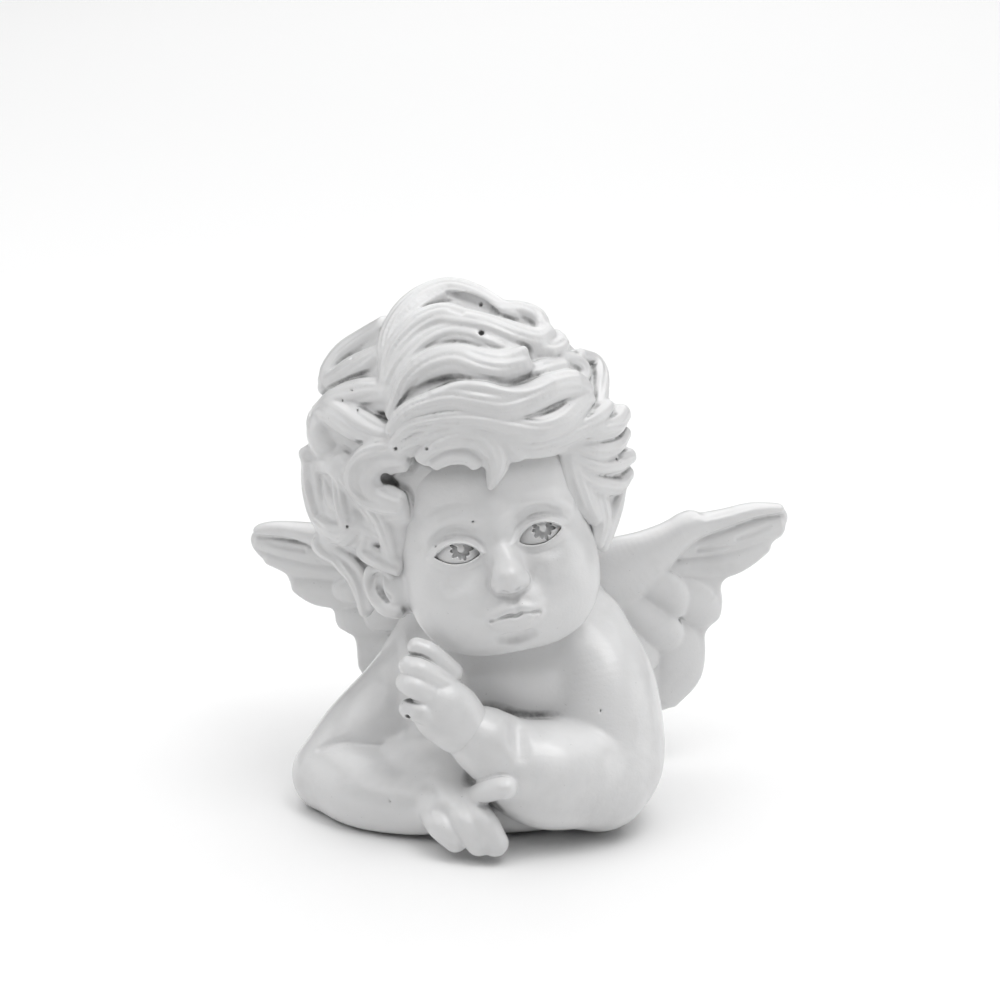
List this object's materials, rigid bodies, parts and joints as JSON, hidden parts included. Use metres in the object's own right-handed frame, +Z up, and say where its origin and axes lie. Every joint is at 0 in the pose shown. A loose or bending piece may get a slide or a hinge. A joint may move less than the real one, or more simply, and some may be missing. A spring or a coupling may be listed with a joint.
{
  "type": "cherub bust figurine",
  "caption": "Free-standing white resin cherub bust with feathered wings, leaning on its folded arms with one hand raised under the chin.",
  "frame": {"origin": "middle of the felt pad's underside, on the surface the figurine stands on", "axes": "+Z up, -Y the way the chest faces, +X towards the figure's own left, where the raised arm and the more open wing are"},
  "size_m": [0.1087, 0.0711, 0.1037],
  "materials": {
    "resin": "semi-gloss white painted casting resin with fine grain, pinholes and grey grime in the creases",
    "steel": "plain drawn rod",
    "felt": "short-pile felt"
  },
  "bodies": {
    "root": {"bust": "resin", "head": "resin", "raised_hand": "resin", "left_wing": "resin", "right_wing": "resin", "neck_dowel": "steel", "left_wing_dowel": "steel", "right_wing_dowel": "steel", "wrist_dowel": "steel", "felt_pad": "felt"}
  },
  "joints": []
}
